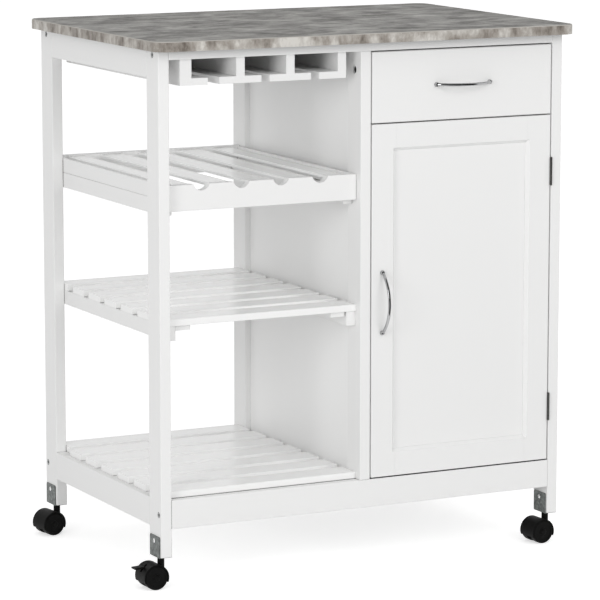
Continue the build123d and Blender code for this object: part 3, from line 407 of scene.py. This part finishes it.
# Wine rack: a shallow lacquered tray on two supports, with a notched front board, a
# plain rear board and thin slats. Its slats are smoother and glossier than the frame,
# and painted a brighter white as painted light. Side boards, supports and slats get
# painted shade in their corners and gaps, the side boards and supports the most.
rack_painted_shade_from, slat_painted_shade_from = 0.72, 0.45
slat_gloss = (0.16, 0.26)
rack_lacquer = lacquered("shade-painted lacquer front to back", "Y", painted_shade_from=rack_painted_shade_from)
rack_slat_lacquer = lacquered(
    "glossy lacquer front to back", "Y", slat_gloss, slat_painted_shade_from, bay_painted_light_white, bay_painted_light_tone
)
finish_nodes(sideways_lacquer, "wine_rack_front_board", "wine_rack_rear_board")
finish_nodes(rack_lacquer, "wine_rack_side_boards", "wine_rack_supports")
finish_nodes(rack_slat_lacquer, "wine_rack_slats")

# Slatted shelves: seven glossy lacquered boards across the bay, twice, screwed to
# battens underneath. The middle shelf rests on supports screwed to the posts.
# The slats are painted the bay's brighter white as painted light, with painted shade in their corners and
# gaps.
shelf_slat_lacquer = lacquered(
    "glossy lacquer sideways", "X", slat_gloss, plain_painted_shade, bay_painted_light_white, bay_painted_light_tone
)
finish_nodes(shelf_slat_lacquer, "middle_shelf_slats", "bottom_shelf_slats")
finish_nodes(endways_lacquer, "shelf_battens", "middle_shelf_supports")

# Drawer: a lacquered front on a box of thinner boards, which runs on two folded steel
# runners with a cloudy zinc plate.
zinc_tones = (0.32, (0.085, 0.093, 0.090, 1)), (0.72, (0.205, 0.220, 0.213, 1))

zinc_plate, tree, shader, place = new_finish("zinc plate")
spangle = shader_node(tree, "ShaderNodeTexVoronoi", {"feature": "F1"}, Vector=place, Scale=260.0)
smear = noise(tree, place, 120.0, 5.0, 0.65)
clouded = mixed(tree, 0.35, smear.outputs["Color"], spangle.outputs["Color"])
patchy = shader_node(tree, "ShaderNodeRGBToBW", Color=clouded).outputs[0]
colour = shader_node(tree, "ShaderNodeValToRGB", Fac=patchy)
for stop, tone in zip(colour.color_ramp.elements, zinc_tones):
    stop.position, stop.color = tone
feed(
    tree, shader,
    Base_Color=colour.outputs[0],
    Roughness=spread(tree, patchy, 0.55, 0.38, 0.3, 0.7),
    Normal=relief(tree, smear.outputs[0], 0.12, 0.0003),
    Metallic=0.75,
)
finish_nodes(front_sideways_lacquer, "drawer_front")
finish_nodes(sideways_lacquer, "drawer_back", "drawer_bottom")
finish_nodes(endways_lacquer, "drawer_sides")
finish_nodes(zinc_plate, "drawer_runners_fixed", "drawer_runners_moving")

# Door: two stiles and two rails of board round a sunk flat panel, all lacquered like the
# drawer's front.
finish_nodes(front_upright_lacquer, "door_stile_handle_side", "door_stile_hinge_side", "door_panel")
finish_nodes(front_sideways_lacquer, "door_rail_bottom", "door_rail_top")

# Handles: a polished, plated bow on two round feet, held by a screw through the front
# into each foot. The bow is drawn along one arc and its feet are turned.
half_spacing, bow_top, bar_radius = 0.048, 0.0256, 0.0024
foot_radius, foot_length = 0.0037, 0.0050
foot_profile = [
    [foot_radius, 0.0], [foot_radius, 0.0024], [foot_radius - 0.0003, 0.0030],
    [foot_radius - 0.0006, 0.0040], [foot_radius - 0.0010, 0.0048],
    [foot_radius - 0.0020, 0.0052], [0.0, 0.0053],
]
handle_screw_radius, handle_screw_height = 0.0038, 0.0024
crease = math.radians(35)

chrome, tree, shader, place = new_finish("polished chrome")
wipes = noise(tree, place, 160.0, 4.0, 0.6).outputs[0]
feed(
    tree, shader,
    Base_Color=mixed(tree, wipes, (0.34, 0.345, 0.352, 1), (0.47, 0.47, 0.475, 1)),
    Roughness=spread(tree, wipes, 0.05, 0.11, 0.3, 0.7),
    Metallic=1.0,
)


def across_axis(axis):
    """A unit axis, and two more at right angles to it and to each other."""
    axis = np.array(axis) / np.linalg.norm(axis)
    across = np.cross(axis, (0, 0, 1) if abs(axis[2]) < 0.9 else (1, 0, 0))
    across = across / np.linalg.norm(across)
    return axis, across, np.cross(axis, across)


def turned(profile, centre, axis, sectors=48):
    """A lathe surface.

    Each row of the profile is a radius and a height along the axis, carried once round it.
    """
    axis, across, other = across_axis(axis)
    turn = np.linspace(0, 2 * math.pi, sectors + 1)[None, :, None]
    radius, height = np.array(profile).T[:, :, None, None]
    return np.array(centre) + height * axis + radius * (np.cos(turn) * across + np.sin(turn) * other)


def crossed_head(centre, axis, radius, height, slot_half=0.00045, slot_depth=0.0008):
    """A low domed screw head with a cross-shaped hollow.

    The height falls by the power 2.5 of the distance out, to a bit under half of it at
    the rim, and from there a last row drops to the seat. Within the arms of the cross it
    is less by the slot's depth.
    """
    slot_reach, fall = 0.6, 0.55
    axis, across, other = across_axis(axis)
    out = radius * np.concatenate([[0.0], np.linspace(0.06, 0.7, 12), [0.82, 0.92, 0.98, 1.0]])[:, None]
    turn = np.linspace(0, 2 * math.pi, 49)[None, :]
    x, y = out * np.cos(turn), out * np.sin(turn)
    narrow = np.minimum(abs(x), abs(y)) < slot_half
    inside = narrow & (np.maximum(abs(x), abs(y)) < slot_reach * radius)
    rise = height * (1 - fall * (out / radius) ** 2.5) + 0 * x - slot_depth * inside
    x, y, rise = np.vstack([x, x[-1:]]), np.vstack([y, y[-1:]]), np.vstack([rise, 0 * rise[-1:]])
    return np.array(centre) + rise[:, :, None] * axis + x[:, :, None] * across + y[:, :, None] * other


def shell(name, surfaces, finish, body):
    """Joins grids of points into one mesh, which rides on a body.

    Neighbouring rows and columns of a grid share four-sided faces, and its seams and
    poles are merged.
    """
    points, corners, start = [], [], 0
    for surface in surfaces:
        rows, columns = surface.shape[:2]
        index = start + np.arange(rows * columns).reshape(rows, columns)
        around = [index[:-1, :-1], index[:-1, 1:], index[1:, 1:], index[1:, :-1]]
        corners.append(np.stack(around, axis=-1).reshape(-1, 4))
        points.append(surface.reshape(-1, 3))
        start += rows * columns
    mesh = bpy.data.meshes.new(name)
    mesh.from_pydata(np.concatenate(points).tolist(), [], np.concatenate(corners).tolist())
    joined = bmesh.new()
    joined.from_mesh(mesh)
    bmesh.ops.remove_doubles(joined, verts=joined.verts, dist=1e-6)
    bmesh.ops.recalc_face_normals(joined, faces=joined.faces)
    joined.to_mesh(mesh)
    joined.free()
    mesh.polygons.foreach_set("use_smooth", np.ones(len(mesh.polygons), dtype=bool))
    mesh.set_sharp_from_angle(angle=crease)
    mesh.materials.append(finish)
    piece = bpy.data.objects.new(name, mesh)
    bpy.context.scene.collection.objects.link(piece)
    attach(piece, body)
    return piece


def bow(seat, run, out):
    """A round bar along an arc of one circle.

    The arc starts at the middle of one foot's height, passes through the bow's top and
    ends in the other foot, and the bar is a ring of its radius carried along it.
    """
    rise = bow_top - foot_length / 2
    curve = (half_spacing**2 + rise**2) / (2 * rise)
    reach = math.asin(half_spacing / curve)
    swing = np.linspace(-reach, reach, 73)[:, None, None]
    turn = np.linspace(0, 2 * math.pi, 33)[None, :, None]
    outward = np.cos(swing) * out + np.sin(swing) * run
    middle = seat + (bow_top - curve) * out + curve * outward
    return middle + bar_radius * (np.cos(turn) * outward + np.sin(turn) * np.cross(run, out))


forward = np.array((0.0, -1.0, 0.0))
handle_runs = {"drawer": (1.0, 0.0, 0.0), "door": (0.0, 0.0, 1.0)}
front_face, front_back = (corner[1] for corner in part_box("drawer_front"))
for body, run in handle_runs.items():
    handle_node = f"{body}_handle"
    run = np.array(run)
    seat = np.mean(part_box(handle_node), axis=0)
    seat[1] = front_face
    surfaces = [bow(seat, run, forward)]
    for side in (-1, 1):
        foot = seat + side * half_spacing * run
        screw_seat = foot - (front_back - front_face) * forward
        surfaces.append(turned(foot_profile, foot, forward))
        surfaces.append(crossed_head(screw_seat, -forward, handle_screw_radius, handle_screw_height))
    handle = shell(f"{handle_node}_bow", surfaces, chrome, body)
    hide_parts(handle_node)

# Hinges: two small butt hinges of darkened steel, a leaf on the post and a leaf on the
# door's edge. Their pins end in low caps, and each leaf has two sunk screws.
hinge_height, leaf_gauge = 0.0445, 0.0008
cap_radius, cap_height, cap_edge = 0.0015, 0.0007, 0.0006
leaf_screw_radius, leaf_screw_height = 0.0024, 0.00012
leaf_screw_half_spacing, leaf_screw_inset = 0.0145, 0.0075
leaf_slot_half, leaf_slot_depth = 0.0003, 0.0001

dark_steel, tree, shader, place = new_finish("darkened steel")
rubbed = noise(tree, place, 300.0, 5.0, 0.7).outputs[0]
feed(
    tree, shader,
    Base_Color=mixed(tree, rubbed, (0.03, 0.03, 0.031, 1), (0.20, 0.197, 0.187, 1)),
    Roughness=spread(tree, rubbed, 0.28, 0.5),
    Metallic=0.9,
)
finish_nodes(dark_steel, "hinge_frame_leaves", "hinge_door_leaves")


def rounded(radius, height, edge):
    """Profile of a short turned disc: straight up its side, a quarter circle, and level to its middle."""
    angle = np.linspace(0, math.pi / 2, 6)
    corner = np.stack([radius - edge + edge * np.cos(angle), height - edge + edge * np.sin(angle)], axis=1)
    return np.concatenate([[[radius, 0.0]], corner, [[0.0, height]]])


joints = {joint["name"]: joint for joint in frame["joints"]}
hinge_x, hinge_y = joints["door_hinge"]["pos_m"][:2]
hinge_low, hinge_high = (corner[2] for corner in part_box("hinge_frame_leaves"))
frame_leaf_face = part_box("post_front_right")[0][0] - leaf_gauge
door_leaf_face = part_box("door_stile_hinge_side")[1][0] + leaf_gauge
leaf_screw_y = front_face + leaf_screw_inset
pin_cap = rounded(cap_radius, cap_height, cap_edge)
caps, frame_screws, door_screws = [], [], []
leaves = (frame_screws, frame_leaf_face, -1), (door_screws, door_leaf_face, 1)
for hinge_level in (hinge_low + hinge_height / 2, hinge_high - hinge_height / 2):
    for up in (-1, 1):
        pin_end = (hinge_x, hinge_y, hinge_level + up * hinge_height / 2)
        caps.append(turned(pin_cap, pin_end, (0, 0, up), sectors=32))
        screw_level = hinge_level + up * leaf_screw_half_spacing
        for screws, face, outward in leaves:
            screws.append(
                crossed_head(
                    (face, leaf_screw_y, screw_level), (outward, 0, 0),
                    leaf_screw_radius, leaf_screw_height, leaf_slot_half, leaf_slot_depth,
                )
            )
shell("hinge_pin_caps", caps, dark_steel, "root")
shell("hinge_screws_on_post", frame_screws, dark_steel, "root")
shell("hinge_screws_on_door", door_screws, dark_steel, "door")

# Catch and strike: a pale moulded magnet case on the divider, and the steel plate that
# it holds on the door's back.
moulding, tree, shader, place = new_finish("pale moulding")
grained = noise(tree, place, 900.0, 3.0).outputs[0]
feed(
    tree, shader,
    Base_Color=mixed(tree, grained, (0.72, 0.72, 0.70, 1), (0.78, 0.78, 0.76, 1)),
    Normal=relief(tree, grained, 0.15, 0.0002, Normal=softened(tree, 0.0007)),
    Roughness=0.42,
)
finish_nodes(moulding, "door_catch")
finish_nodes(zinc_plate, "door_strike")

# Caster brackets: folded zinc-plated plates round the posts' feet, each held by two
# cross-headed screws. A bright turned ring stands on each caster's neck.
bracket_half = 0.0105
bracket_screw_radius, bracket_screw_height = 0.0036, 0.0018
ring_foot, ring_head, ring_bore = 0.0476, 0.0494, 0.0044
ring_profile = [
    [ring_bore, ring_foot], [0.0058, ring_foot], [0.0062, 0.0479], [0.0063, 0.0484],
    [0.0062, 0.0490], [0.0058, ring_head], [ring_bore, ring_head],
]

bright_steel, tree, shader, place = new_finish("bright steel")
worn = noise(tree, place, 520.0, 4.0).outputs[0]
feed(
    tree, shader,
    Base_Color=mixed(tree, worn, (0.58, 0.585, 0.585, 1), (0.86, 0.86, 0.85, 1)),
    Roughness=spread(tree, worn, 0.16, 0.34),
    Metallic=1.0,
)
finish_nodes(zinc_plate, "caster_brackets")

corners = ("front_left", "front_right", "rear_left", "rear_right")
screw_level = np.mean(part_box("bracket_screws"), axis=0)[2]
heads, rings = [], []
for corner in corners:
    stem_x, stem_y = joints[f"swivel_{corner}"]["pos_m"][:2]
    rings.append(turned(ring_profile, (stem_x, stem_y, 0.0), (0, 0, 1)))
    for side in (-1, 1):
        screw_seat = (stem_x + side * bracket_half, stem_y, screw_level)
        heads.append(crossed_head(screw_seat, (side, 0, 0), bracket_screw_radius, bracket_screw_height))
screws = shell("bracket_screw_heads", heads, bright_steel, "root")
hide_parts("bracket_screws")
shell("neck_rings", rings, bright_steel, "root")

# Casters: black moulded hoods over pairs of moulded wheels, a little glossy, with the
# fine grain of the mould. Each wheel has a turned hub cap, and two hoods a foot lever.
disc_face = 0.0186
hub_radius, hub_rise = 0.0050, 0.0010
hub_profile = [
    [hub_radius, -0.0006], [hub_radius, 0.0002], [0.0046, 0.0006],
    [0.0030, 0.0009], [0.0012, hub_rise], [0.0, hub_rise],
]

black_moulding, tree, shader, place = new_finish("black moulding")
grained = noise(tree, place, 1100.0, 3.0, 0.6).outputs[0]
scuffed = noise(tree, place, 90.0, 6.0, 0.7).outputs[0]
feed(
    tree, shader,
    Base_Color=mixed(tree, scuffed, (0.0035, 0.0035, 0.0035, 1), (0.0095, 0.0095, 0.009, 1)),
    Roughness=spread(tree, scuffed, 0.34, 0.56),
    Normal=relief(tree, grained, 0.10, 0.0002, Normal=softened(tree, 0.0004)),
    Specular_IOR_Level=0.06,
)
for corner in corners:
    finish_nodes(black_moulding, f"caster_housing_{corner}", f"caster_wheels_{corner}")
    axle = np.array(joints[f"roll_{corner}"]["axis"])
    wheel_middle = np.array(joints[f"roll_{corner}"]["pos_m"])
    caps = [turned(hub_profile, wheel_middle + side * disc_face * axle, side * axle) for side in (-1, 1)]
    shell(f"hub_caps_{corner}", caps, black_moulding, f"wheels_{corner}")
finish_nodes(black_moulding, "brake_lever_front_left", "brake_lever_rear_right")
